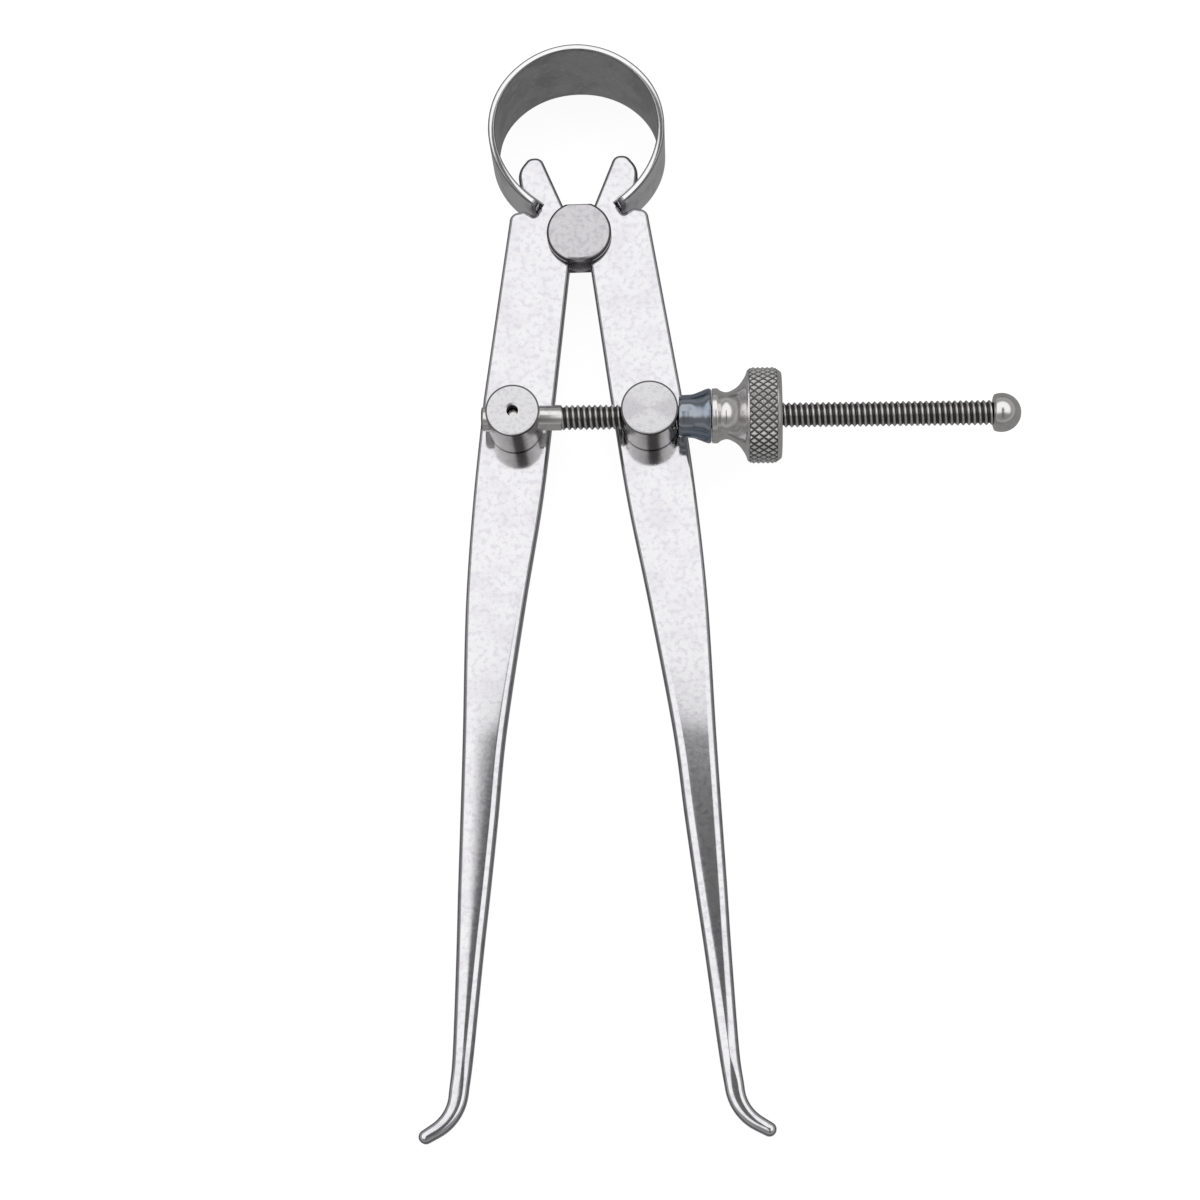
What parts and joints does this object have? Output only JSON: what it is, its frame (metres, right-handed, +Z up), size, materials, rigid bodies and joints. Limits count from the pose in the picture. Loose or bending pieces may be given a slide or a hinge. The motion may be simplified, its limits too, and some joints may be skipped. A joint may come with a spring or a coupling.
{
  "type": "inside spring caliper",
  "caption": "Inside spring caliper: flat tapered legs with turned-out tips on a spool fulcrum under a bow spring, opened by a knurled nut on a screw between two posts.",
  "frame": {"origin": "the middle of the fulcrum stud's front face", "axes": "+Z is up when the caliper lies on the back edge of its bow and on its two tips, +Y points from the tips to the bow, and +X is across the legs, within a degree of the screw, towards its free end. The legs lean 2.6 degrees from the horizontal, bow end up."},
  "size_m": [0.0851, 0.1545, 0.0185],
  "materials": {
    "left_leg": "satin chrome plate on ground steel",
    "right_leg": "satin chrome plate on ground steel",
    "bow_spring": "dull tempered spring steel with polished rims",
    "fulcrum_stud": "satin chrome plate",
    "left_post": "turned and lightly polished",
    "right_post": "turned and lightly polished",
    "adjusting_screw": "cut thread, lightly oiled",
    "screw_lock_pin": "plain",
    "thrust_collar": "polished and blued",
    "adjusting_nut": "bright plate with a diamond knurl",
    "end_button": "polished"
  },
  "bodies": {
    "fulcrum": {"fulcrum_stud": "fulcrum_stud", "bow_spring": "bow_spring"},
    "left_leg": {"left_leg": "left_leg"},
    "right_leg": {"right_leg": "right_leg"},
    "screw": {"left_post": "left_post", "adjusting_screw": "adjusting_screw", "screw_lock_pin": "screw_lock_pin", "end_button": "end_button"},
    "right_post": {"right_post": "right_post"},
    "collar": {"thrust_collar": "thrust_collar"},
    "nut": {"adjusting_nut": "adjusting_nut"}
  },
  "joints": [
    {"name": "right_leg_swing", "type": "hinge", "parent": "fulcrum", "child": "right_leg", "pos_m": [0, 0, 0], "axis": [0, -0.0461, 0.9989], "range_deg": [-7.8, 19]},
    {"name": "left_leg_swing", "type": "hinge", "parent": "fulcrum", "child": "left_leg", "pos_m": [0, 0, 0], "axis": [0, 0.0461, -0.9989], "range_deg": [-7.8, 19], "deforming": ["bow_spring"]},
    {"name": "left_post_swivel", "type": "hinge", "parent": "left_leg", "child": "screw", "pos_m": [-0.0095, -0.02841, -0.00256], "axis": [0, -0.0461, 0.9989], "range_deg": [-8, 19.5]},
    {"name": "right_post_swivel", "type": "hinge", "parent": "right_leg", "child": "right_post", "pos_m": [0.0095, -0.02841, -0.00256], "axis": [0, 0.0461, -0.9989], "range_deg": [-7.8, 19]},
    {"name": "collar_slide", "type": "slide", "parent": "screw", "child": "collar", "axis": [0.9998, -0.0174, -0.0008], "range_m": [-0.0078, 0.01895]},
    {"name": "nut_turn", "type": "hinge", "parent": "collar", "child": "nut", "pos_m": [0.01812, -0.0291, 0.00191], "axis": [0.9998, -0.0174, -0.0008], "range_deg": [-3525, 8580]}
  ],
  "couplings": [
    {"joint": "left_leg_swing", "follows": "right_leg_swing", "ratio": 1},
    {"joint": "left_post_swivel", "follows": "right_leg_swing", "ratio": 1.02},
    {"joint": "right_post_swivel", "follows": "right_leg_swing", "ratio": 0.98},
    {"joint": "collar_slide", "follows": "right_leg_swing", "m_per_rad": 0.057},
    {"joint": "nut_turn", "follows": "right_leg_swing", "ratio": 451.06}
  ]
}
